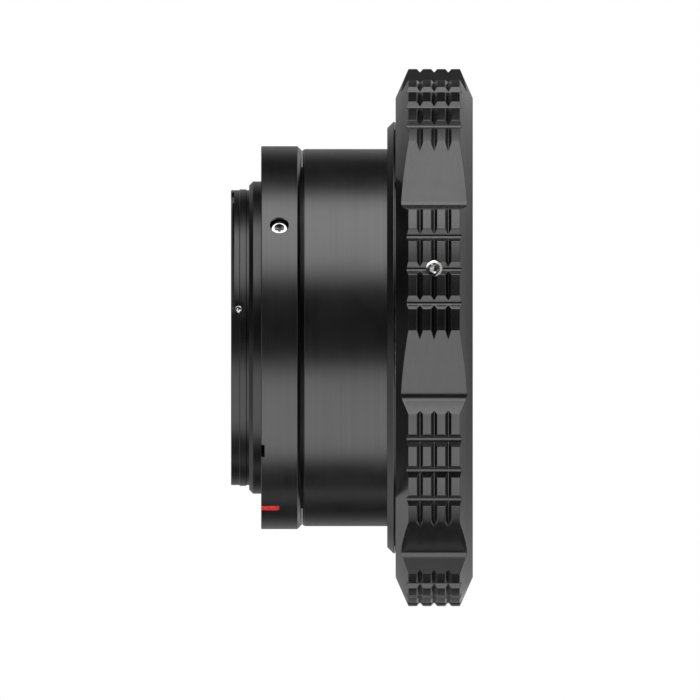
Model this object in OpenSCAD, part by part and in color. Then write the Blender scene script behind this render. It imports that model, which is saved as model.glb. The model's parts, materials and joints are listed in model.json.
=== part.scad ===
// Lens-mount adapter for a mirrorless camera body: a camera bayonet on a
// turning back-focus ring, a barrel, and a breech-lock grip ring that clamps
// a four-lobed lens flange. The optical axis is Z. The part stands on the
// grip ring's front face at z = 0 and the camera bayonet is at the top.

/* [Lens socket] */
// Radius of the throat that guides the lens barrel
throat_r = 27; // [26.5:0.1:27.2]
// Height of the lens seat above the grip ring's front face
seat_z = 4.6; // [4.4:0.1:5]
// Distance from the lens seat to the camera flange
seat_to_flange = 32; // [31:0.5:36]
// Inner radius of the four claws that hold the lens flange
claw_r = 31.5; // [31.4:0.1:32.5]
// Inner radius of the socket round the lens flange
socket_r = 36.3; // [36.2:0.1:36.6]

/* [Grip ring] */
// Width of the grip ring along the axis
ring_w = 13.35; // [13.3:0.05:14]
// Radius over the grip pads
pad_r = 46.45; // [46:0.05:50]
// Radius at the corner of each finger valley
valley_r = 43.5; // [43:0.1:44]
// Radius of the ring's end faces, where the chamfers start
face_r = 41.4; // [41:0.1:42]
// Number of grip pads
pads = 8; // [6:1:9]
// Angle from the locked position to the released one
lock_turn = 50; // [40:1:55]
// Axial travel of the grip ring over that angle
lock_lift = 0.5; // [0.3:0.1:0.6]

/* [Barrel] */
// Outer radius of the barrel
tube_r = 32.6; // [32.3:0.05:33]
// Outer radius of the collar behind the grip ring
collar_r = 37.3; // [36.8:0.1:38]

/* [Camera end] */
// Outer radius of the back-focus ring
mount_r = 33.1; // [32.9:0.1:34]
// Length of the back-focus ring
mount_len = 7.05; // [7:0.05:7.5]
// Radius of the pilot that centres in the camera throat
pilot_r = 27; // [26.8:0.1:27]
// Outer radius of the bayonet barrel
bayonet_r = 25.5; // [25.2:0.1:25.8]
// Length of the bayonet beyond the camera flange
bayonet_len = 5.2; // [5:0.1:5.6]

/* [Hidden] */
$fn = 96;
eps = 0.01;
over = 1;
run_gap = 0.05;

// Heights along the axis, from the grip ring's front face
flange_z = seat_z + seat_to_flange;
top_z = flange_z + bayonet_len;
mount_z = flange_z - mount_len;
collar_gap = 0.15;
collar_z = ring_w + collar_gap;
collar_len = 1.3;
tube_z = collar_z + collar_len;
tube_end_z = mount_z - 0.05;

// Grip pads: angles run clockwise as seen from the camera side
pad_a0 = -75;
pad_pitch = 360 / pads;
pad_half = pad_pitch * 0.299;
valley_a = pad_pitch * 0.6355;
valley_fillet = 1.7;
pad_w = 8.9;
notch_step = pad_pitch * 0.1655;
notch_half = 1.18;
notch_slope = 36.5;
notch_fillet = 0.7;
groove_step = 2.455;
groove_half = 0.53;
groove_floor = 0.04;
groove_depth = 0.56;

// Hub inside the grip ring, the seat plate and what is under it
hub_r = 36;
plate_r = 31.2;
plate_t = 1.8;
shim_t = 0.2;
plate_screws = 8;
plate_screw_r = 29.15;
hub_floor_z = seat_z + plate_t + shim_t;
spigot_r = 30;
spigot_end_z = 20;
key_count = 4;
key_w = 4;
key_depth = 0.95;
hub_face_z = seat_z + 0.1;
tube_screws = 6;
tube_screw_z = tube_z + 2.6;
tube_screw_head_r = throat_r + 0.08;
pin_r = 1.25;
pin_at_r = 34.3;
pin_a = 180;

// Grip ring's inside, from front to back
recess_r = 39.5;
recess_z = 1.6;
claw_sink = 0.15;
claws = 4;
claw_gap_a = 47;
claw_screw_at_r = 37.95;
claw_screw_offset = 15;
washer_z = 11.7;
washer_t = 0.8;
back_bore_r = 39;
snap_t = 0.35;
snap_r = 39.55;

// Guide screws: dog-point set screws that run in helical slots of the hub
guide_z = ring_w / 2;
guide_angles = [pad_a0, pad_a0 + 180];
guide_r = 1.45;
dog_r = 1;
dog_tip_r = 34.2;
slot_floor_r = 34;

// Camera end
spigot2_r = 29.5;
spigot2_end_z = flange_z - 1.7;
plate2_r = 32.2;
plate2_t = 1.3;
inner_r = 23.6;
bay_screws = 6;
bay_screw_at_r = 30.75;
set_angles = [-54, 126];
set_z = flange_z - 3.15;
set_hole_r = 1.65;
set_sink = 0.8;
pin_slot_a = -126.3;
pin_slot_w = 2.6;
pin_slot_depth = 0.62;
mark_a = -153.4;
mark_w = 2.1;
mark_len = 3.2;
mark_depth = 0.3;
stop_a = -79.2;
stop_z = flange_z + 3.9;

// Light baffle in the barrel
baffle_z = 28;
baffle_t = 1;
baffle_r = 27.5;
bore2_r = 27.6;
lip_r = 26.2;
window_w = 37;
window_h = 25;

// ---- helpers ----

// Solid of revolution from (radius, height) points
module turned(points) {
    rotate_extrude() polygon(points);
}

// Flat ring between two radii
module ring(r_out, r_in, z0, z1) {
    translate([0, 0, z0]) difference() {
        cylinder(r = r_out, h = z1 - z0);
        translate([0, 0, -over]) cylinder(r = r_in, h = z1 - z0 + 2 * over);
    }
}

// Child geometry repeated at equal angles
module around(count, first = 0) {
    for (i = [0 : count - 1]) rotate(first + i * 360 / count) children();
}

// Radial cylinder between two radii at a height and an angle
module radial(a, z, r, r_in, r_out) {
    rotate(a) translate([r_in, 0, z]) rotate([0, 90, 0]) cylinder(r = r, h = r_out - r_in);
}

// Countersunk screw, head face at z = 0, pointing up
module flat_screw(head_r, shank_r, length) {
    head_h = head_r - shank_r;
    difference() {
        union() {
            cylinder(r1 = head_r, r2 = shank_r, h = head_h);
            cylinder(r = shank_r, h = length);
        }
        translate([0, 0, -eps]) cross_slot(head_r * 0.62, head_h * 0.9);
    }
}

// Cross recess of a small screw
module cross_slot(reach, depth) {
    for (a = [0, 90]) rotate(a)
        translate([-reach, -reach * 0.16, 0]) cube([2 * reach, reach * 0.32, depth]);
}

// Hole for a countersunk screw, mouth at z = 0
module flat_hole(head_r, shank_r, length) {
    gap = 0.03;
    lead = 0.4;
    translate([0, 0, -eps]) turned([
        [0, -lead], [head_r + gap, -lead], [head_r + gap, 0], [shank_r + gap, head_r - shank_r],
        [shank_r + gap, length + gap], [0, length + gap]
    ]);
}

// ---- grip ring outline ----

function polar(r, a) = [r * cos(a), r * sin(a)];
function unit(v) = v / norm(v);

// Finger valley: long slope, rounded corner and short flank, counted clockwise from a pad's centre
valley_start = polar(pad_r, -pad_half);
valley_corner = polar(valley_r, -valley_a);
valley_end = polar(pad_r, -(pad_pitch - pad_half));
slope_dir = unit(valley_start - valley_corner);
flank_dir = unit(valley_end - valley_corner);
corner_half = acos(slope_dir * flank_dir) / 2;
corner_centre = valley_corner + unit(slope_dir + flank_dir) * valley_fillet / sin(corner_half);
corner_reach = valley_fillet / tan(corner_half);

module valley_outline() {
    run_out = 1.5;
    union() {
        polygon([
            valley_start + slope_dir * run_out, valley_corner + slope_dir * corner_reach,
            valley_corner + flank_dir * corner_reach, valley_end + flank_dir * run_out,
            polar(pad_r + 3, -pad_pitch / 2)
        ]);
        translate(corner_centre) circle(r = valley_fillet);
    }
}

// Cross notch of a pad: two slopes with a rounded root between them
module cross_notch() {
    above = 0.5;
    mouth = notch_half + above / tan(notch_slope);
    tangent_y = notch_fillet * sin(notch_slope);
    tangent_x = pad_r - (notch_half - tangent_y) * tan(notch_slope);
    union() {
        polygon([
            [tangent_x, tangent_y], [pad_r + above, mouth],
            [pad_r + above, -mouth], [tangent_x, -tangent_y]
        ]);
        translate([tangent_x + notch_fillet * cos(notch_slope), 0]) circle(r = notch_fillet);
    }
}

// Pin slot along a helix on the hub, as a closed sweep of a rectangle
module helix_slot(a_from, a_to, z_from, z_to, half_h, r_in, r_out) {
    steps = 24;
    sections = [for (i = [0 : steps]) let (
            t = i / steps,
            a = a_from + (a_to - a_from) * t,
            z = z_from + (z_to - z_from) * t
        ) [
            [r_in * cos(a), r_in * sin(a), z - half_h], [r_out * cos(a), r_out * sin(a), z - half_h],
            [r_out * cos(a), r_out * sin(a), z + half_h], [r_in * cos(a), r_in * sin(a), z + half_h]
        ]];
    points = [for (s = sections) for (p = s) p];
    sides = [for (i = [0 : steps - 1]) for (k = [0 : 3]) let (
            a = 4 * i + k,
            b = 4 * i + (k + 1) % 4,
            c = b + 4,
            d = a + 4
        ) each [[a, b, c], [a, c, d]]];
    last = 4 * steps;
    ends = [[0, 2, 1], [0, 3, 2], [last, last + 1, last + 2], [last, last + 2, last + 3]];
    polyhedron(points, concat(sides, ends), convexity = 4);
}

// ---- barrel ----

module front_hub() {
    key_z = washer_z - lock_lift - 0.25;
    slot_run = (dog_r + run_gap) / hub_r * 180 / PI + 0.15;
    slot_rise = lock_lift / lock_turn * slot_run;
    collar_cham = 1.08;
    color("#1b1c1e") difference() {
        turned([
            [throat_r, hub_floor_z], [plate_r + 0.05, hub_floor_z], [plate_r + 0.05, hub_face_z],
            [hub_r - 0.25, hub_face_z], [hub_r, hub_face_z + 0.25], [hub_r, collar_z], [collar_r, collar_z],
            [collar_r, tube_z - collar_cham], [collar_r - collar_cham, tube_z], [spigot_r, tube_z],
            [spigot_r, spigot_end_z], [throat_r, spigot_end_z]
        ]);
        around(key_count, 45) translate([hub_r - key_depth, -key_w / 2 - run_gap, key_z])
            cube([key_depth + over, key_w + 2 * run_gap, collar_z - key_z]);
        for (a = guide_angles) helix_slot(
            a - lock_turn - slot_run, a + slot_run,
            guide_z - lock_lift - slot_rise, guide_z + slot_rise,
            dog_r + run_gap, slot_floor_r, hub_r + over);
        rotate(pin_a) translate([pin_at_r, 0, seat_z - over]) cylinder(r = pin_r, h = 6);
        around(plate_screws, 22.5) translate([plate_screw_r, 0, hub_floor_z - eps])
            cylinder(r = 0.83, h = 3);
        tube_screw_places() flat_hole(1.3, 0.8, 5);
    }
}

module rear_tube() {
    edge_z = 0.42;
    edge_r = 0.3;
    rib_pitch = 0.9;
    ribs = 6;
    color("#1b1c1e") difference() {
        turned([
            [spigot_r + 0.03, tube_z], [tube_r, tube_z], [tube_r, tube_end_z - edge_z],
            [tube_r - edge_r, tube_end_z], [spigot2_r, tube_end_z], [spigot2_r, spigot2_end_z - 0.3],
            [spigot2_r - 0.3, spigot2_end_z], [bore2_r, spigot2_end_z],
            [bore2_r, baffle_z + baffle_t + 1], [lip_r, baffle_z + baffle_t + 1],
            [lip_r, baffle_z + baffle_t], [bore2_r, baffle_z + baffle_t],
            [bore2_r, spigot_end_z + 0.05], [spigot_r + 0.03, spigot_end_z + 0.05]
        ]);
        for (i = [0 : ribs - 1]) turned([
            [bore2_r - over, spigot_end_z + 0.4 + i * rib_pitch],
            [bore2_r + 0.35, spigot_end_z + 0.75 + i * rib_pitch],
            [bore2_r - over, spigot_end_z + 1.1 + i * rib_pitch]
        ]);
        tube_screw_places() flat_hole(1.3, 0.8, 4.7);
    }
}

module tube_screw_places() {
    around(tube_screws, 30) translate([tube_screw_head_r, 0, tube_screw_z]) rotate([0, 90, 0]) children();
}

module tube_screws() {
    color("#3a3b3d") tube_screw_places() flat_screw(1.3, 0.8, 4.6);
}

// ---- lens seat ----

module seat_plate() {
    color("#b9babb") difference() {
        turned([
            [throat_r + 0.35, seat_z], [plate_r, seat_z], [plate_r, seat_z + plate_t],
            [throat_r + 0.05, seat_z + plate_t], [throat_r + 0.05, seat_z + 0.3]
        ]);
        around(plate_screws, 22.5) translate([plate_screw_r, 0, seat_z])
            flat_hole(1.5, 0.83, plate_t + over);
    }
}

module seat_screws() {
    sink = 0.06;
    color("#8f9091") around(plate_screws, 22.5) translate([plate_screw_r, 0, seat_z + sink])
        flat_screw(1.5 - sink, 0.8, 4.4);
}

module seat_shim() {
    color("#c9a24a") difference() {
        ring(plate_r - 0.1, throat_r + 0.1, seat_z + plate_t, hub_floor_z);
        around(plate_screws, 22.5) translate([plate_screw_r, 0, seat_z])
            cylinder(r = 0.9, h = 5);
    }
}

module index_pin() {
    stand = 1.8;
    round_h = 0.35;
    color("#c4c5c6") rotate(pin_a) translate([pin_at_r, 0, 0]) turned([
        [0, seat_z - stand], [pin_r - round_h, seat_z - stand], [pin_r, seat_z - stand + round_h],
        [pin_r, seat_z + 4.8], [0, seat_z + 4.8]
    ]);
}

// ---- light baffle ----

module rounded_rect(w, h, r) {
    union() {
        square([w - 2 * r, h], center = true);
        square([w, h - 2 * r], center = true);
        for (x = [-1, 1], y = [-1, 1]) translate([x * (w / 2 - r), y * (h / 2 - r)]) circle(r = r);
    }
}

module light_baffle() {
    color("#141416") translate([0, 0, baffle_z + eps]) difference() {
        cylinder(r = baffle_r, h = baffle_t - 2 * eps);
        translate([0, 0, -over]) linear_extrude(baffle_t + 2 * over) rounded_rect(window_w, window_h, 2.5);
    }
}

module baffle_retainer() {
    depth = 1.4;
    color("#1b1c1e") difference() {
        ring(baffle_r, 25.2, baffle_z - depth, baffle_z);
        for (s = [0, 180]) rotate(s) translate([24.5, -0.75, baffle_z - depth - over])
            cube([4, 1.5, over + 0.8]);
    }
}

// ---- grip ring and its thrust parts ----

module lock_ring() {
    cham_z = (ring_w - pad_w) / 2;
    color("#1d1e20") difference() {
        turned([
            [recess_r, 0], [face_r, 0], [pad_r, cham_z], [pad_r, ring_w - cham_z], [face_r, ring_w],
            [back_bore_r, ring_w], [back_bore_r, washer_z + washer_t + snap_t + 0.04],
            [snap_r, washer_z + washer_t + snap_t + 0.04], [snap_r, washer_z + washer_t],
            [back_bore_r, washer_z + washer_t], [back_bore_r, washer_z],
            [hub_r + run_gap, washer_z], [hub_r + run_gap, seat_z + 0.1],
            [socket_r, seat_z - 0.15], [socket_r, recess_z], [recess_r, recess_z]
        ]);
        around(pads, pad_a0) translate([0, 0, -over]) linear_extrude(ring_w + 2 * over) valley_outline();
        around(pads, pad_a0) for (n = [-1 : 1]) rotate(n * notch_step)
            translate([0, 0, -over]) linear_extrude(ring_w + 2 * over) cross_notch();
        for (n = [-1 : 1]) translate([0, 0, ring_w / 2 + n * groove_step]) turned([
            [pad_r - groove_depth, -groove_floor], [pad_r + groove_depth, -2 * groove_half + groove_floor],
            [pad_r + groove_depth, 2 * groove_half - groove_floor], [pad_r - groove_depth, groove_floor]
        ]);
        for (a = guide_angles) radial(a, guide_z, guide_r + 0.03, hub_r - over, pad_r + over);
        claw_screw_places() translate([0, 0, recess_z - eps]) cylinder(r = 0.83, h = 3.4);
    }
}

module claw_screw_places() {
    around(claws) for (s = [-1, 1]) rotate(s * claw_screw_offset)
        translate([claw_screw_at_r, 0, 0]) children();
}

module claw_ring() {
    lead = 0.4;
    color("#a9aaab") difference() {
        turned([
            [claw_r, claw_sink + lead], [claw_r + lead, claw_sink], [recess_r - 0.06, claw_sink],
            [recess_r - 0.06, recess_z], [claw_r, recess_z]
        ]);
        around(claws, 45 - claw_gap_a / 2) rotate_extrude(angle = claw_gap_a)
            translate([claw_r - over, -over]) square([socket_r - claw_r + over, recess_z + 2 * over]);
        claw_screw_places() translate([0, 0, claw_sink]) flat_hole(1.35, 0.83, recess_z + over);
    }
}

module claw_screws() {
    sink = 0.05;
    color("#3a3b3d") claw_screw_places() translate([0, 0, claw_sink + sink])
        flat_screw(1.35 - sink, 0.8, 4.4);
}

module keyed_washer() {
    color("#d8d4c8") union() {
        ring(back_bore_r - run_gap, hub_r + run_gap, washer_z + eps, washer_z + washer_t - eps);
        around(key_count, 45) translate([hub_r - key_depth + run_gap, -key_w / 2, washer_z + eps])
            cube([key_depth + 0.4, key_w, washer_t - 2 * eps]);
    }
}

module snap_ring() {
    gap_a = 14;
    color("#7d7e80") rotate(100 + gap_a / 2) rotate_extrude(angle = 360 - gap_a)
        translate([37.7, washer_z + washer_t + eps]) square([snap_r - 0.05 - 37.7, snap_t]);
}

module wave_washer() {
    r_in = hub_r + 0.1;
    r_out = collar_r - 0.1;
    z_mid = (washer_z + washer_t + collar_z) / 2;
    rise = 0.37;
    half_t = 0.1;
    waves = 4;
    steps = 96;
    points = [for (i = [0 : steps - 1]) let (
            a = i * 360 / steps,
            z = z_mid + rise * cos(waves * a)
        ) each [
            [r_in * cos(a), r_in * sin(a), z - half_t], [r_out * cos(a), r_out * sin(a), z - half_t],
            [r_out * cos(a), r_out * sin(a), z + half_t], [r_in * cos(a), r_in * sin(a), z + half_t]
        ]];
    faces = [for (i = [0 : steps - 1]) for (k = [0 : 3]) let (
            a = 4 * i + k,
            b = 4 * i + (k + 1) % 4,
            c = 4 * ((i + 1) % steps) + (k + 1) % 4,
            d = 4 * ((i + 1) % steps) + k
        ) each [[a, b, c], [a, c, d]]];
    color("#9b9c9e") polyhedron(points, faces, convexity = 6);
}

// Socket set screw along +X from r_in to r_out, with an optional dog point
module socket_screw(r, r_in, r_out, hex_af, tip_r = 0, tip_at = 0) {
    edge = 0.18;
    socket = 1.6;
    difference() {
        translate([r_in, 0, 0]) rotate([0, 90, 0]) turned(concat(
            tip_r > 0 ? [[0, tip_at - r_in], [tip_r, tip_at - r_in], [tip_r, 0]] : [[0, 0]],
            [[r - edge, 0], [r, edge], [r, r_out - r_in - edge], [r - edge, r_out - r_in], [0, r_out - r_in]]
        ));
        translate([r_out - socket, 0, 0]) rotate([0, 90, 0])
            cylinder(r = hex_af / sqrt(3), h = socket + over, $fn = 6);
    }
}

module guide_screws() {
    color("#c8c9ca") for (a = guide_angles) rotate(a) translate([0, 0, guide_z])
        socket_screw(guide_r, hub_r + 0.6, pad_r - 0.12, 1.5, dog_r, dog_tip_r);
}

// ---- camera end ----

module mount_ring() {
    cham = 0.78;
    edge = 0.12;
    seat2_z = flange_z - plate2_t;
    color("#1b1c1e") difference() {
        turned([
            [spigot2_r + run_gap, mount_z], [mount_r - cham, mount_z], [mount_r, mount_z + cham],
            [mount_r, flange_z - edge], [mount_r - edge, flange_z], [plate2_r + 0.03, flange_z],
            [plate2_r + 0.03, seat2_z], [spigot2_r + run_gap, seat2_z]
        ]);
        for (a = set_angles) radial(a, set_z, set_hole_r, spigot2_r - over, mount_r + over);
        rotate(pin_slot_a) translate([plate2_r - over, -pin_slot_w / 2, flange_z - pin_slot_depth])
            cube([3, pin_slot_w, over + pin_slot_depth]);
        rotate(mark_a) translate([mount_r - mark_depth, -mark_w / 2, flange_z - mark_len])
            cube([over, mark_w, mark_len + over]);
        around(bay_screws, 10) translate([bay_screw_at_r, 0, seat2_z - 2])
            cylinder(r = 0.73, h = 2 + over);
    }
}

module index_mark() {
    color("#c8102e") rotate(mark_a) intersection() {
        translate([mount_r - mark_depth + eps, -mark_w / 2 + eps, flange_z - mark_len + eps])
            cube([mark_depth, mark_w - 2 * eps, mark_len - 2 * eps]);
        translate([0, 0, flange_z - mark_len - over])
            cylinder(r = mount_r - 0.06, h = mark_len + 2 * over, $fn = 720);
    }
}

module bayonet_plate() {
    cham = 0.7;
    pilot_h = 2.07;
    band_z0 = flange_z + 2.6;
    band_z1 = flange_z + 3.65;
    band = 0.14;
    seat2_z = flange_z - plate2_t;
    cut_from = -78;
    cut_a = 68;
    cut_depth = 0.55;
    color("#232427") difference() {
        turned([
            [inner_r, seat2_z], [plate2_r, seat2_z], [plate2_r, flange_z], [pilot_r, flange_z],
            [pilot_r, flange_z + pilot_h - cham], [pilot_r - cham, flange_z + pilot_h],
            [bayonet_r, flange_z + pilot_h], [bayonet_r, band_z0 - 0.1], [bayonet_r + band, band_z0],
            [bayonet_r + band, band_z1], [bayonet_r, band_z1 + 0.1], [bayonet_r, top_z - 0.1],
            [bayonet_r - 0.1, top_z], [inner_r + 0.25, top_z], [inner_r, top_z - 0.25]
        ]);
        rotate(cut_from) rotate_extrude(angle = cut_a) translate([inner_r - over, top_z - cut_depth])
            square([bayonet_r - inner_r + 2 * over, over + cut_depth]);
        rotate(pin_slot_a) translate([pilot_r + 1.2, -pin_slot_w / 2, flange_z - pin_slot_depth])
            cube([5, pin_slot_w, over + pin_slot_depth]);
        rotate(pin_slot_a) translate([pilot_r + 1.2, -pin_slot_w / 2, seat2_z - over])
            cube([2.3, pin_slot_w, over + plate2_t]);
        around(bay_screws, 10) translate([bay_screw_at_r, 0, flange_z]) mirror([0, 0, 1])
            flat_hole(1.35, 0.73, plate2_t + over);
        radial(stop_a, stop_z, 0.6, inner_r - over, bayonet_r + over);
    }
}

module bayonet_screws() {
    sink = 0.05;
    color("#3a3b3d") around(bay_screws, 10) translate([bay_screw_at_r, 0, flange_z - sink])
        mirror([0, 0, 1]) flat_screw(1.35 - sink, 0.7, 3);
}

module stop_screw() {
    head_r = 0.62;
    head_at_r = bayonet_r + 0.15;
    head_h = 0.26;
    slot_depth = 0.15;
    color("#d2d3d4") rotate(stop_a) translate([0, 0, stop_z]) difference() {
        union() {
            radial(0, 0, 0.58, inner_r + 0.3, head_at_r + head_h / 2);
            radial(0, 0, head_r, head_at_r, head_at_r + head_h);
        }
        translate([head_at_r + head_h - slot_depth, 0, 0]) rotate([0, 90, 0]) cross_slot(0.5, over);
    }
}

module set_screws() {
    color("#c8c9ca") for (a = set_angles) rotate(a) translate([0, 0, set_z])
        socket_screw(1.42, spigot2_r + 0.85, mount_r - set_sink, 1.5);
}

module brake_pads() {
    color("#c9a24a") for (a = set_angles)
        radial(a, set_z, 1.35, spigot2_r + run_gap + 0.02, spigot2_r + 0.8);
}

front_hub();
rear_tube();
tube_screws();
seat_plate();
seat_screws();
seat_shim();
index_pin();
light_baffle();
baffle_retainer();
wave_washer();
keyed_washer();
snap_ring();
lock_ring();
claw_ring();
claw_screws();
guide_screws();
mount_ring();
index_mark();
bayonet_plate();
bayonet_screws();
stop_screw();
set_screws();
brake_pads();
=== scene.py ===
"""Looks of the lens mount adapter: finishes, shaped pieces, softened edges, light, floor and camera.

Everything is in metres in the part's own frame: the optical axis is Z, the grip ring's
front face is at z = 0 and the camera bayonet is at the top.
"""

import json
import math

import bmesh
import bpy
import numpy as np
from mathutils import Matrix


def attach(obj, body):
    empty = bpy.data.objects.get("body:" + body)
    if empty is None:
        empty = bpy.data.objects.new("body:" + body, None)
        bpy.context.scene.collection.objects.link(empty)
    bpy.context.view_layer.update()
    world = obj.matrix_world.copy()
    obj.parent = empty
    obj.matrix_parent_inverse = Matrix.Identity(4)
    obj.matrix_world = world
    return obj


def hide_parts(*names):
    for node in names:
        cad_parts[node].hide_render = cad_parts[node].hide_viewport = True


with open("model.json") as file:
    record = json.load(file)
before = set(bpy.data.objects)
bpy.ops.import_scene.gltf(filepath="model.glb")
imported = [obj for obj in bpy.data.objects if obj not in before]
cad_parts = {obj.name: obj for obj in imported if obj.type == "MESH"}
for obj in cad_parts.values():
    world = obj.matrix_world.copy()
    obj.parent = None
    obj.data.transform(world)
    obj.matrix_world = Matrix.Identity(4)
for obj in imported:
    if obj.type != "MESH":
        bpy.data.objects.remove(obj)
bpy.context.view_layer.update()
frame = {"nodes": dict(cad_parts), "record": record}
MM = 0.001
nodes = frame["nodes"]


# ---- node helpers ----


class Recipe:
    """A material's node tree, built by chaining nodes."""

    def __init__(self, name):
        self.material = bpy.data.materials.new(name)
        self.material.use_nodes = True
        self.tree = self.material.node_tree
        self.surface = self.tree.nodes["Principled BSDF"]

    def node(self, kind, **settings):
        made = self.tree.nodes.new(kind)
        for key, value in settings.items():
            setattr(made, key, value)
        return made

    def wire(self, source, target):
        self.tree.links.new(source, target)

    def feed(self, socket, value):
        if isinstance(value, bpy.types.NodeSocket):
            self.wire(value, socket)
        else:
            socket.default_value = value

    def math(self, operation, *values):
        made = self.node("ShaderNodeMath", operation=operation)
        for socket, value in zip(made.inputs, values):
            self.feed(socket, value)
        return made.outputs[0]

    def spread(self, value, low, high, to_low=0.0, to_high=1.0):
        """value moved from the range low..high to the range to_low..to_high, smoothly."""
        made = self.node("ShaderNodeMapRange", interpolation_type="SMOOTHSTEP")
        for key, number in (("From Min", low), ("From Max", high), ("To Min", to_low), ("To Max", to_high)):
            made.inputs[key].default_value = number
        self.feed(made.inputs["Value"], value)
        return made.outputs["Result"]

    def noise(self, vector, scale, detail=2.0, rough=0.5):
        made = self.node("ShaderNodeTexNoise")
        self.feed(made.inputs["Vector"], vector)
        made.inputs["Scale"].default_value = scale
        made.inputs["Detail"].default_value = detail
        made.inputs["Roughness"].default_value = rough
        return made.outputs["Fac"]

    def blend(self, amount, first, second):
        made = self.node("ShaderNodeMix", data_type="RGBA")
        self.feed(made.inputs["Factor"], amount)
        self.feed(made.inputs["A"], first)
        self.feed(made.inputs["B"], second)
        return made.outputs["Result"]

    def lathe_space(self):
        """(radius, height, a little of the angle) of a point, for marks that run round the axis."""
        place = self.node("ShaderNodeTexCoord").outputs["Object"]
        axes = self.node("ShaderNodeSeparateXYZ")
        self.wire(place, axes.inputs[0])
        x, y, z = axes.outputs
        squares = self.math("ADD", self.math("MULTIPLY", x, x), self.math("MULTIPLY", y, y))
        radius = self.math("SQRT", squares)
        angle = self.math("ARCTAN2", y, x)
        joined = self.node("ShaderNodeCombineXYZ")
        self.wire(radius, joined.inputs[0])
        self.wire(z, joined.inputs[1])
        self.wire(self.math("MULTIPLY", self.math("ABSOLUTE", angle), 0.00012), joined.inputs[2])
        return place, joined.outputs[0]

    def round_axis(self, place):
        """The direction that runs round the part's axis, which the tool marks follow."""
        cross = self.node("ShaderNodeVectorMath", operation="CROSS_PRODUCT")
        cross.inputs[0].default_value = (0.0, 0.0, 1.0)
        self.wire(place, cross.inputs[1])
        turned = self.node(
            "ShaderNodeVectorTransform", vector_type="VECTOR", convert_from="OBJECT", convert_to="WORLD"
        )
        self.wire(cross.outputs["Vector"], turned.inputs[0])
        return turned.outputs[0]

    def relief(self, height, strength, depth):
        made = self.node("ShaderNodeBump")
        made.inputs["Strength"].default_value = strength
        made.inputs["Distance"].default_value = depth
        self.wire(height, made.inputs["Height"])
        self.wire(made.outputs[0], self.surface.inputs["Normal"])


def tone(r, g, b):
    return (r, g, b, 1.0)


def turned_finish(
    name, dark, light, gloss, marks=0.25, metal=0.0, grain=0.0, lustre=0.5, lay=0.0, streak=0.06
):
    """A turned surface: tool marks round the axis that stretch its highlights along the axis by lay,
    streaks of a little more and less lustre, an even etched grain and a slow change of gloss.
    """
    r = Recipe(name)
    place, lathe = r.lathe_space()
    tool = r.noise(lathe, 9000.0, 3.0, 0.7)
    bands = r.noise(lathe, 2600.0, 4.0, 0.75)
    etched = r.noise(place, 26000.0, 2.0, 0.6)
    slow = r.noise(place, 160.0, 3.0, 0.55)
    r.feed(r.surface.inputs["Base Color"], r.blend(r.spread(slow, 0.3, 0.7), dark, light))
    even_gloss = r.spread(slow, 0.3, 0.7, gloss[0], gloss[1])
    rough = r.math("ADD", even_gloss, r.spread(tool, 0.3, 0.7, -0.015, 0.015))
    r.feed(r.surface.inputs["Roughness"], rough)
    r.surface.inputs["Metallic"].default_value = metal
    r.feed(r.surface.inputs["Specular IOR Level"],
           r.spread(bands, 0.3, 0.7, lustre * (1 - streak), lustre * (1 + streak)))
    if lay:
        r.surface.inputs["Anisotropic"].default_value = lay
        r.surface.inputs["Anisotropic Rotation"].default_value = 0.0
        r.wire(r.round_axis(place), r.surface.inputs["Tangent"])
    height = r.math("ADD", r.math("MULTIPLY", tool, 1.0 - grain), r.math("MULTIPLY", etched, grain))
    r.relief(height, marks, 0.000004)
    return r.material


def paint_fill(name, dark, light):
    """Paint run into a milled pocket: even colour with a slight orange peel."""
    r = Recipe(name)
    place = r.node("ShaderNodeTexCoord").outputs["Object"]
    peel = r.noise(place, 2600.0, 2.0)
    r.feed(r.surface.inputs["Base Color"], r.blend(r.spread(peel, 0.35, 0.65), dark, light))
    r.feed(r.surface.inputs["Roughness"], r.spread(peel, 0.3, 0.7, 0.3, 0.42))
    r.relief(peel, 0.2, 0.00002)
    return r.material


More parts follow.
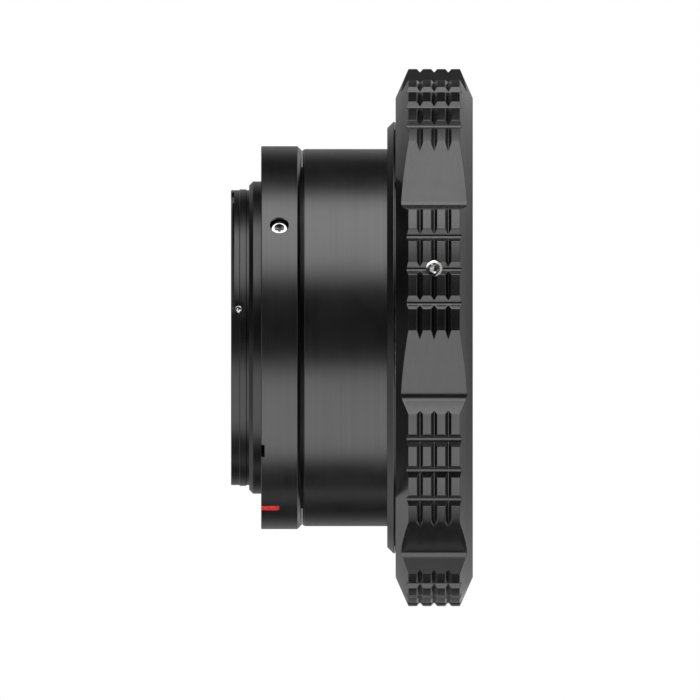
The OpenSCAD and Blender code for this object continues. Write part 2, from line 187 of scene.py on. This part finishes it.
finishes = {
    "satin_black_aluminium": turned_finish(
        "satin_black_anodise", tone(0.0012, 0.0012, 0.0013), tone(0.002, 0.002, 0.0021), (0.15, 0.17), 0.12,
        grain=0.3, lustre=0.53, lay=1.0, streak=0.05
    ),
    "flat_black_aluminium": turned_finish(
        "flat_black_anodise", tone(0.006, 0.006, 0.0065), tone(0.01, 0.01, 0.0105), (0.5, 0.62), 0.4,
        grain=0.7
    ),
    "black_chrome_brass": turned_finish(
        "black_chrome", tone(0.0015, 0.0015, 0.0016), tone(0.0025, 0.0025, 0.0026), (0.15, 0.18), 0.12,
        grain=0.2, lustre=0.34, lay=1.0, streak=0.08
    ),
    "stainless_steel": turned_finish(
        "turned_stainless", tone(0.5, 0.5, 0.49), tone(0.62, 0.62, 0.61), (0.2, 0.3), 0.6, metal=1.0
    ),
    "bright_steel": turned_finish(
        "nickel_plate", tone(0.4, 0.4, 0.395), tone(0.48, 0.48, 0.47), (0.08, 0.12), 0.1, metal=1.0
    ),
    "black_steel": turned_finish(
        "black_oxide", tone(0.012, 0.012, 0.013), tone(0.022, 0.022, 0.024), (0.28, 0.38), 0.3, grain=0.6
    ),
    "spring_steel": turned_finish(
        "rolled_spring_steel", tone(0.26, 0.26, 0.27), tone(0.36, 0.36, 0.37), (0.25, 0.35), 0.3, metal=1.0
    ),
    "brass": turned_finish(
        "rolled_brass", tone(0.6, 0.42, 0.16), tone(0.72, 0.53, 0.22), (0.25, 0.35), 0.3, metal=1.0
    ),
    "slip_plastic": turned_finish(
        "turned_acetal", tone(0.62, 0.58, 0.48), tone(0.7, 0.66, 0.56), (0.35, 0.45), 0.4
    ),
    "red_enamel": paint_fill("red_enamel", tone(0.42, 0.012, 0.014), tone(0.55, 0.02, 0.02)),
}

for part in frame["record"]["subparts"]:
    made = nodes[part["node"]]
    made.data.materials.clear()
    made.data.materials.append(finishes[part["material_slot"]])


# ---- shaped pieces ----


def broken_edges(path, corners, width):
    """path, an array (..., points, 2), with each listed corner swapped for three points of a small curve.

    The curve's ends lie width away along the two sides, or half a side where that is shorter, and its
    middle is a quarter of the way from the corner's own place to each of them.
    """
    before, here, after = path[..., :-2, :], path[..., 1:-1, :], path[..., 2:, :]

    def towards(there):
        side = there - here
        length = np.linalg.norm(side, axis=-1, keepdims=True)
        return side * np.minimum(width / np.maximum(length, 1e-9), 0.5)

    first, last = towards(before), towards(after)
    curved = np.stack([here + first, here + (first + last) / 4, here + last], axis=-2)
    parts = [path[..., :1, :]]
    for i in range(1, path.shape[-2] - 1):
        parts.append(curved[..., i - 1, :, :] if i in corners else path[..., i:i + 1, :])
    return np.concatenate(parts + [path[..., -1:, :]], axis=-2)


def arc(centre, radius, start, end, count):
    """count + 1 points in equal turns on an arc, from angle start to angle end in degrees."""
    turn = np.radians(np.linspace(start, end, count + 1))
    return np.asarray(centre) + radius * np.stack([np.cos(turn), np.sin(turn)], axis=-1)


def line(start, end, count):
    """count + 1 equally spaced points on a straight line."""
    share = np.linspace(0, 1, count + 1)[:, None]
    return np.asarray(start) * (1 - share) + np.asarray(end) * share


def skin(points, quads):
    """Closed mesh of points in mm and quads, with coinciding points made one and faces turned outwards."""
    mesh = bpy.data.meshes.new("skin")
    mesh.from_pydata((points.reshape(-1, 3) * MM).tolist(), [], quads.tolist())
    tidy = bmesh.new()
    tidy.from_mesh(mesh)
    bmesh.ops.remove_doubles(tidy, verts=tidy.verts, dist=0.000001)
    bare = [edge for edge in tidy.edges if not edge.link_faces]
    bmesh.ops.delete(tidy, geom=bare, context="EDGES")
    bmesh.ops.recalc_face_normals(tidy, faces=tidy.faces)
    tidy.to_mesh(mesh)
    tidy.free()
    return mesh


def closed_skin(grid):
    """Mesh of a grid of points (columns, rows, 3) in mm that closes on itself both ways."""
    columns, rows = grid.shape[:2]
    here = np.arange(columns * rows).reshape(columns, rows)
    right, up, across = np.roll(here, -1, 0), np.roll(here, -1, 1), np.roll(np.roll(here, -1, 0), -1, 1)
    return skin(grid, np.stack([here, right, across, up], axis=-1).reshape(-1, 4))


def revolved(path, columns=360):
    """Closed skin of a closed path of (radius, height) points turned round Z in equal steps."""
    turn = np.radians(np.arange(columns) * 360 / columns)[:, None]
    radius, height = path[None, :, 0], path[None, :, 1] + 0 * turn
    return closed_skin(np.stack([radius * np.cos(turn), radius * np.sin(turn), height], axis=-1))


def peg(angle, height, radius, inner, outer, sides=48):
    """Mesh of a cylinder that points away from the axis, from one radius to another."""
    a = math.radians(angle)
    mesh = bpy.data.meshes.new("peg")
    shape = bmesh.new()
    out = Matrix.Rotation(a, 4, "Z") @ Matrix.Translation(((inner + outer) / 2 * MM, 0, height * MM))
    bmesh.ops.create_cone(
        shape, cap_ends=True, segments=sides, radius1=radius * MM, radius2=radius * MM,
        depth=(outer - inner) * MM, matrix=out @ Matrix.Rotation(math.pi / 2, 4, "Y"))
    shape.to_mesh(mesh)
    shape.free()
    return mesh


def brick(angle, inner, outer, width, low, high):
    """Mesh of a block on the axis's spoke at an angle, from one radius to another."""
    mesh = bpy.data.meshes.new("brick")
    shape = bmesh.new()
    place = Matrix.Rotation(math.radians(angle), 4, "Z") @ Matrix.Translation(
        ((inner + outer) / 2 * MM, 0, (low + high) / 2 * MM))
    size = Matrix.Diagonal(((outer - inner) * MM, width * MM, (high - low) * MM, 1))
    bmesh.ops.create_cube(shape, size=1, matrix=place @ size)
    shape.to_mesh(mesh)
    shape.free()
    return mesh


def cut(mesh, cutters):
    """The mesh less the cutters, worked out once."""
    body = bpy.data.objects.new("blank", mesh)
    bpy.context.scene.collection.objects.link(body)
    helpers = []
    for cutter in cutters:
        helper = bpy.data.objects.new("cutter", cutter)
        bpy.context.scene.collection.objects.link(helper)
        helpers.append(helper)
        step = body.modifiers.new("cut", "BOOLEAN")
        step.operation = "DIFFERENCE"
        step.solver = "EXACT"
        step.object = helper
    done = bpy.data.meshes.new_from_object(body.evaluated_get(bpy.context.evaluated_depsgraph_get()))
    for made in helpers + [body]:
        bpy.data.objects.remove(made)
    return done


def frame_body(node):
    """Name of the body that a CAD node belongs to."""
    return next(name for name, own in frame["record"]["behaviour"]["bodies"].items() if node in own)


def piece(name, mesh, node, slot, sharp=50.0):
    """The mesh as a piece that stands for a CAD node, shaded smoothly between its sharp edges."""
    mesh.name = name
    mesh.materials.clear()
    mesh.materials.append(finishes[slot])
    mesh.polygons.foreach_set("use_smooth", np.ones(len(mesh.polygons), bool))
    mesh.set_sharp_from_angle(angle=math.radians(sharp))
    made = bpy.data.objects.new(name, mesh)
    bpy.context.scene.collection.objects.link(made)
    even = made.modifiers.new("even_shading", "WEIGHTED_NORMAL")
    even.keep_sharp = True
    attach(made, frame_body(node))
    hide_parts(node)
    return made


# Sizes in mm, as in the part's source
ring_w, pad_w, pad_r, face_r = 13.35, 8.9, 46.45, 41.4
pads, pad_a0 = 8, -75.0
pitch = 360 / pads
pad_half = pitch * 0.299
flange_z, mount_z, mount_r = 36.6, 29.55, 33.1
guide_z, guide_r = ring_w / 2, 1.45
set_angles, set_z = (-54.0, 126.0), flange_z - 3.15


def ring_outline():
    """Outline of one pad and the finger valley after it, as (x, y) with the pad's centre on X.

    The pad is an arc of pad_r with three notches, each two slopes and a rounded root. The valley is a
    long straight slope, a rounded corner and a short straight flank. Outer corners are broken.
    """
    slope_deg, root, half = 36.5, 0.7, 1.18
    valley_r, valley_turn, fillet = 43.5, pitch * 0.6355, 1.7
    slope = math.radians(slope_deg)
    tangent_y = root * math.sin(slope)
    tangent_x = pad_r - (half - tangent_y) * math.tan(slope)
    mouth_y = half - pad_r * (1 - math.cos(half / pad_r)) / math.tan(slope)
    mouth_a = math.degrees(math.asin(mouth_y / pad_r))
    notch_arc = arc((tangent_x + root * math.cos(slope), 0), root, 180 - slope_deg, 180 + slope_deg, 18)
    turns = [n * pitch * 0.1655 for n in (-1, 0, 1)]
    run = []
    last = -pad_half
    for turn in turns:
        run.append(arc((0, 0), pad_r, -last, -(turn - mouth_a), 5))
        a = math.radians(-turn)
        spin = np.array([[math.cos(a), math.sin(a)], [-math.sin(a), math.cos(a)]])
        run.append(notch_arc @ spin)
        last = turn + mouth_a
    run.append(arc((0, 0), pad_r, -last, -pad_half, 5))
    start, end = run[-1][-1], arc((0, 0), pad_r, -(pitch - pad_half), 0, 1)[0]
    corner = arc((0, 0), valley_r, -valley_turn, 0, 1)[0]
    to_start = (start - corner) / np.linalg.norm(start - corner)
    to_end = (end - corner) / np.linalg.norm(end - corner)
    half_turn = math.acos(float(to_start @ to_end)) / 2
    reach = fillet / math.tan(half_turn)
    middle = to_start + to_end
    centre = corner + middle / np.linalg.norm(middle) * fillet / math.sin(half_turn)
    first, second = corner + to_start * reach - centre, corner + to_end * reach - centre
    a0, a1 = (math.degrees(math.atan2(v[1], v[0])) for v in (first, second))
    a1 = a0 + (a1 - a0 + 180) % 360 - 180
    run.append(line(start, corner + to_start * reach, 36)[1:])
    run.append(arc(centre, fillet, a0, a1, 16)[1:])
    run.append(line(corner + to_end * reach, end, 8)[1:])
    counts = np.cumsum([len(r) for r in run])
    points = np.concatenate(run)
    ends = [c - 1 for c in counts[:6]] + list(counts[:6])
    corners = {i for i in ends if 0 < i < len(points) - 1} | {int(counts[6]) - 1}
    return broken_edges(points, corners, 0.06)[:-1]


def grip_ring():
    """The grip ring: its outline swept along the axis, with cone faces and three V grooves.

    A point's radius is the least of the outline's, the end cones' and the grooves', so each column of
    the grid has its corners where the outline's own radius meets the cones and the grooves.
    """
    one = ring_outline()
    spins = np.radians(pad_a0 - pitch * np.arange(pads))
    x, y = one[:, 0], one[:, 1]
    flat = np.concatenate([
        np.stack([x * math.cos(a) - y * math.sin(a), x * math.sin(a) + y * math.cos(a)], axis=-1)
        for a in spins
    ])
    reach = np.linalg.norm(flat, axis=-1)
    out = flat / reach[:, None]
    cone = (ring_w - pad_w) / 2 * (reach - face_r) / (pad_r - face_r)
    depth, floor_half, mouth_half, step = 0.56, 0.04, 0.53, 2.455
    floor_r = np.minimum(reach, pad_r - depth)
    half = floor_half + (reach - floor_r) * (mouth_half - floor_half) / depth
    zero = 0 * reach
    corners = [(zero + 39.5, zero), (zero + face_r, zero), (reach, cone)]
    for n in (-1, 0, 1):
        z = ring_w / 2 + n * step
        corners += [
            (reach, z - half), (floor_r, z - floor_half + zero),
            (floor_r, z + floor_half + zero), (reach, z + half),
        ]
    corners += [(reach, ring_w - cone), (zero + face_r, zero + ring_w)]
    inside = ((39.0, ring_w), (39.0, 12.89), (39.55, 12.89), (39.55, 12.5), (39.0, 12.5), (39.0, 11.7),
              (36.05, 11.7), (36.05, 4.7), (36.3, 4.45), (36.3, 1.6), (39.5, 1.6), (39.5, 0.0))
    corners += [(zero + r, zero + z) for r, z in inside]
    section = np.stack([np.stack(c, axis=-1) for c in corners], axis=1)
    rounded = {1, 2, 3, 6, 7, 10, 11, 14, 15, 16, 17}
    section = broken_edges(section, rounded, 0.06)[:, :-1]
    grid = np.concatenate([out[:, None, :] * section[..., :1], section[..., 1:]], axis=-1)
    holes = [peg(pad_a0 + a, guide_z, guide_r + 0.03, 35, 48) for a in (0, 180)]
    return cut(closed_skin(grid), holes)


def back_focus_ring():
    """The ring behind the camera bayonet: a turned band, less its screw holes, pin slot and mark pocket."""
    seat, edge = flange_z - 1.3, 0.12
    path = np.array([
        (29.55, mount_z), (mount_r - 0.78, mount_z), (mount_r, mount_z + 0.78), (mount_r, flange_z - edge),
        (mount_r - edge, flange_z), (32.23, flange_z), (32.23, seat), (29.55, seat), (29.55, mount_z),
    ])
    path = broken_edges(path, {1, 2, 3, 4, 5}, 0.06)[:-1]
    path = np.concatenate([line(a, b, max(1, int(np.linalg.norm(b - a) / 0.8)))[:-1]
                           for a, b in zip(path, np.roll(path, -1, 0))])
    cutters = [peg(a, set_z, 1.65, 28, 35) for a in set_angles]
    cutters.append(brick(-126.3, 31.2, 35.2, 2.6, flange_z - 0.62, flange_z + 1))
    cutters.append(brick(-153.4, mount_r - 0.3, mount_r + 1, 2.1, flange_z - 3.2, flange_z + 1))
    return cut(revolved(path, 480), cutters)


def hex_socket_screw(angle, height, radius, inner, outer, across, tip=None):
    """A set screw on the spoke at an angle, its socket facing out, as one closed grid.

    A row is a loop round the screw's own axis: a circle outside, a hexagon in the socket, whose radius is
    half its width over the cosine of the turn from the nearest flat.
    """
    edge, mouth, deep = 0.12, 0.16, 1.6
    turn = np.radians(np.arange(72) * 5.0)
    flat_turn = np.degrees(turn) % 60 - 30
    hexagon = across / 2 / np.cos(np.radians(flat_turn))
    circle = 1 + 0 * turn
    base = tip[1] if tip else inner
    rim = hexagon * 0.4 + (across / 2 * 1.1547 + mouth * 0.6) * 0.6
    start = [(0 * circle, inner)]
    if tip:
        start += [(tip[0] * circle, inner), (tip[0] * circle, base)]
    rows = start + [
        ((radius - edge) * circle, base), (radius * circle, base + edge), (radius * circle, outer - edge),
        ((radius - edge * 0.3) * circle, outer - edge * 0.3), ((radius - edge) * circle, outer),
        (rim, outer), (hexagon, outer - mouth), (hexagon, outer - deep), (0 * circle, outer - deep - 0.25),
    ]
    loops = [np.stack([r * np.cos(turn), r * np.sin(turn), 0 * turn + h], axis=-1) for r, h in rows]
    grid = np.stack(loops, axis=1)
    a = math.radians(angle)
    spoke = np.array([(math.cos(a), math.sin(a), 0), (-math.sin(a), math.cos(a), 0), (0, 0, 1)])
    own = np.stack([grid[..., 2], grid[..., 0], grid[..., 1]], axis=-1)
    return own @ spoke + np.array([0, 0, height])


def screws(grids):
    """One mesh of several screws, each a grid closed round its axis and across its two small ends."""
    joined = bmesh.new()
    for grid in grids:
        mesh = closed_skin(grid)
        joined.from_mesh(mesh)
        bpy.data.meshes.remove(mesh)
    done = bpy.data.meshes.new("screws")
    joined.to_mesh(done)
    joined.free()
    return done


def shell(upper, lower):
    """Closed mesh between two sheets of points (columns, rows, 3) in mm, with walls round their rims."""
    columns, rows = upper.shape[:2]
    top = np.arange(columns * rows).reshape(columns, rows)
    base = top + columns * rows

    def faces(grid):
        fours = [grid[:-1, :-1], grid[1:, :-1], grid[1:, 1:], grid[:-1, 1:]]
        return np.stack(fours, axis=-1).reshape(-1, 4)

    def wall(first, second):
        return np.stack([first[:-1], first[1:], second[1:], second[:-1]], axis=-1)

    rims = [(top[0], base[0]), (top[-1], base[-1]), (top[:, 0], base[:, 0]), (top[:, -1], base[:, -1])]
    quads = np.concatenate([faces(top), faces(base)] + [wall(t, b) for t, b in rims])
    return skin(np.concatenate([upper.reshape(-1, 3), lower.reshape(-1, 3)]), quads)


def paint_bead(angle, half_w, length, low_r, high_r, top):
    """A bead of paint in a milled pocket: an arched top that falls away at its inner end.

    Height over the pocket's edge goes as the square root of one less the square of the share of the
    way across, times the same for the last part of the length.
    """
    across = np.sin(np.radians(np.linspace(-90, 90, 25)))
    closing = 0.7 + 0.3 * np.sin(np.radians(np.linspace(7.5, 90, 12)))
    along = np.concatenate([np.linspace(0, 0.7, 12), closing])
    u, v = np.meshgrid(across, along, indexing="ij")
    inner_end = np.clip(v - 0.7, 0, 1) / 0.3
    rise = np.sqrt(np.clip(1 - u ** 2, 0, 1)) * np.sqrt(np.clip(1 - inner_end ** 2, 0, 1))
    top_r = low_r + 0.02 + (high_r - low_r) * rise
    z = top - length * v
    a = math.radians(angle)
    out, side = np.array((math.cos(a), math.sin(a), 0)), np.array((-math.sin(a), math.cos(a), 0))
    upper = top_r[..., None] * out + (u * half_w)[..., None] * side + z[..., None] * np.array((0, 0, 1))
    lower = low_r * out + (u * half_w)[..., None] * side + z[..., None] * np.array((0, 0, 1))
    return shell(upper, lower)


piece("grip_ring_skin", grip_ring(), "lock_ring", "satin_black_aluminium", 5.5)
piece("back_focus_ring_skin", back_focus_ring(), "mount_ring", "satin_black_aluminium")
piece("guide_screw_pair", screws([
    hex_socket_screw(pad_a0 + a, guide_z, guide_r, 36.6, pad_r - 0.12, 1.5, tip=(1.0, 34.2))
    for a in (0, 180)
]), "guide_screws", "bright_steel", 35.0)
piece("set_screw_pair", screws([
    hex_socket_screw(a, set_z, 1.42, 30.35, mount_r - 0.8, 1.5) for a in set_angles
]), "set_screws", "bright_steel", 35.0)
piece("index_mark_bead", paint_bead(-153.4, 1.04, 3.18, mount_r - 0.29, mount_r - 0.03, flange_z - 0.01),
      "index_mark", "red_enamel", 60.0)


# ---- softened edges ----


def soften(node, width, turn=25.0, segments=2):
    """Breaks a node's sharp edges with a small round, as deburring leaves them."""
    weld = node.modifiers.new("one_skin", "WELD")
    weld.merge_threshold = 0.000002
    flat = node.modifiers.new("whole_faces", "DECIMATE")
    flat.decimate_type = "DISSOLVE"
    flat.angle_limit = math.radians(0.2)
    edge = node.modifiers.new("broken_edges", "BEVEL")
    edge.width = width * MM
    edge.segments = segments
    edge.limit_method = "ANGLE"
    edge.angle_limit = math.radians(turn)
    edge.use_clamp_overlap = True
    even = node.modifiers.new("even_shading", "WEIGHTED_NORMAL")
    even.keep_sharp = True
    node.data.polygons.foreach_set("use_smooth", np.ones(len(node.data.polygons), bool))


for name, width in (
    ("front_hub", 0.1), ("rear_tube", 0.1), ("bayonet_plate", 0.08), ("stop_screw", 0.05),
    ("claw_ring", 0.1), ("seat_plate", 0.06),
):
    soften(nodes[name], width)


# ---- floor, light and camera ----


def floor_finish():
    """Pale matt floor with a faint glow of its own, fading out to nothing away from the object."""
    r = Recipe("pale_floor")
    place = r.node("ShaderNodeTexCoord").outputs["Object"]
    reach = r.node("ShaderNodeVectorMath", operation="LENGTH")
    r.wire(place, reach.inputs[0])
    far = r.spread(reach.outputs["Value"], 0.075, 0.16)
    clear = r.node("ShaderNodeBsdfTransparent")
    r.surface.inputs["Emission Color"].default_value = tone(1.0, 1.0, 1.0)
    r.surface.inputs["Emission Strength"].default_value = 0.3
    mixed = r.node("ShaderNodeMixShader")
    r.surface.inputs["Base Color"].default_value = tone(0.8, 0.8, 0.8)
    r.surface.inputs["Roughness"].default_value = 0.9
    r.surface.inputs["Specular IOR Level"].default_value = 0.1
    r.wire(far, mixed.inputs[0])
    r.wire(r.surface.outputs[0], mixed.inputs[1])
    r.wire(clear.outputs[0], mixed.inputs[2])
    r.wire(mixed.outputs[0], r.tree.nodes["Material Output"].inputs["Surface"])
    return r.material


def pale_floor(half):
    """A flat square just under the grip ring."""
    mesh = bpy.data.meshes.new("floor")
    z = -0.0002
    corners = [(-half, -half, z), (half, -half, z), (half, half, z), (-half, half, z)]
    mesh.from_pydata(corners, [], [(0, 1, 2, 3)])
    floor = bpy.data.objects.new("floor", mesh)
    bpy.context.scene.collection.objects.link(floor)
    mesh.materials.append(floor_finish())


def studio():
    """Four soft panels round the part's axis, fading towards its two ends.

    A panel is its middle angle up from the front, half its width, the softness of its edges and its
    strength: the large one above, the large one below, a narrow strip under it and a dim one behind.
    A soft lamp stands in front and to the camera end.
    """
    world = bpy.data.worlds.new("studio")
    bpy.context.scene.world = world
    world.use_nodes = True
    tree = world.node_tree
    back = tree.nodes["Background"]

    def node(kind, **settings):
        made = tree.nodes.new(kind)
        for key, value in settings.items():
            setattr(made, key, value)
        return made

    def calc(operation, *values):
        made = node("ShaderNodeMath", operation=operation)
        for socket, value in zip(made.inputs, values):
            if isinstance(value, bpy.types.NodeSocket):
                tree.links.new(value, socket)
            else:
                socket.default_value = value
        return made.outputs[0]

    def ease(value, low, high, to_low, to_high):
        made = node("ShaderNodeMapRange", interpolation_type="SMOOTHSTEP")
        tree.links.new(value, made.inputs["Value"])
        for key, number in (("From Min", low), ("From Max", high), ("To Min", to_low), ("To Max", to_high)):
            made.inputs[key].default_value = number
        return made.outputs["Result"]

    axes = node("ShaderNodeSeparateXYZ")
    sky = node("ShaderNodeTexCoord").outputs["Generated"]
    tree.links.new(sky, axes.inputs[0])
    x, y, z = axes.outputs
    turn = calc("ARCTAN2", x, calc("MULTIPLY", y, -1.0))
    around = 0.03
    for middle, half, soft, strength in (
        (67, 26, 11, 4.3),
        (-49, 29, 8, 3.1),
        (-112, 5, 4, 0.6),
        (180, 30, 18, 0.33),
    ):
        facing = calc("COSINE", calc("SUBTRACT", turn, math.radians(middle)))
        outer, inner = math.cos(math.radians(half + soft)), math.cos(math.radians(half - soft))
        around = calc("ADD", around, ease(facing, outer, inner, 0.0, strength))
    lens_side = 0.2
    camera_side = ease(x, -0.1, 0.0, 0.85, 0.1)
    side = calc("ADD", calc("MULTIPLY", ease(z, -0.1, 0.1, 1.0, 0.0), lens_side),
                calc("MULTIPLY", ease(z, -0.1, 0.1, 0.0, 1.0), camera_side))
    lean = ease(calc("ABSOLUTE", z), 0.4, 0.72, 0.0, 1.0)
    level = calc("ADD", calc("MULTIPLY", around, calc("SUBTRACT", 1.0, lean)), calc("MULTIPLY", side, lean))
    lamp = node("ShaderNodeVectorMath", operation="DOT_PRODUCT")
    tree.links.new(sky, lamp.inputs[0])
    lamp.inputs[1].default_value = (0.0, -0.55, 0.835)
    level = calc("ADD", level, ease(lamp.outputs["Value"], 0.9, 0.98, 0.0, 1.0))
    seen = node("ShaderNodeLightPath").outputs["Is Camera Ray"]
    strength = calc("ADD", calc("MULTIPLY", level, calc("SUBTRACT", 1.0, seen)), seen)
    tree.links.new(strength, back.inputs["Strength"])
    back.inputs["Color"].default_value = tone(1.0, 1.0, 1.0)


def side_camera():
    """Level view along +Y with the part's axis lying across the picture, bayonet to the left."""
    lens = bpy.data.cameras.new("side_camera")
    lens.type = "ORTHO"
    lens.ortho_scale = 0.1210
    camera = bpy.data.objects.new("side_camera", lens)
    bpy.context.scene.collection.objects.link(camera)
    away = 0.4
    right, up, back = (0, 0, -1), (1, 0, 0), (0, -1, 0)
    place = (-0.00214, -away, 0.02123)
    camera.matrix_world = Matrix([
        (right[i], up[i], back[i], place[i]) for i in range(3)
    ] + [(0, 0, 0, 1)])
    lens.clip_start, lens.clip_end = 0.01, 10.0
    bpy.context.scene.camera = camera


bpy.context.scene.view_settings.view_transform = "Standard"
pale_floor(0.18)
studio()
side_camera()
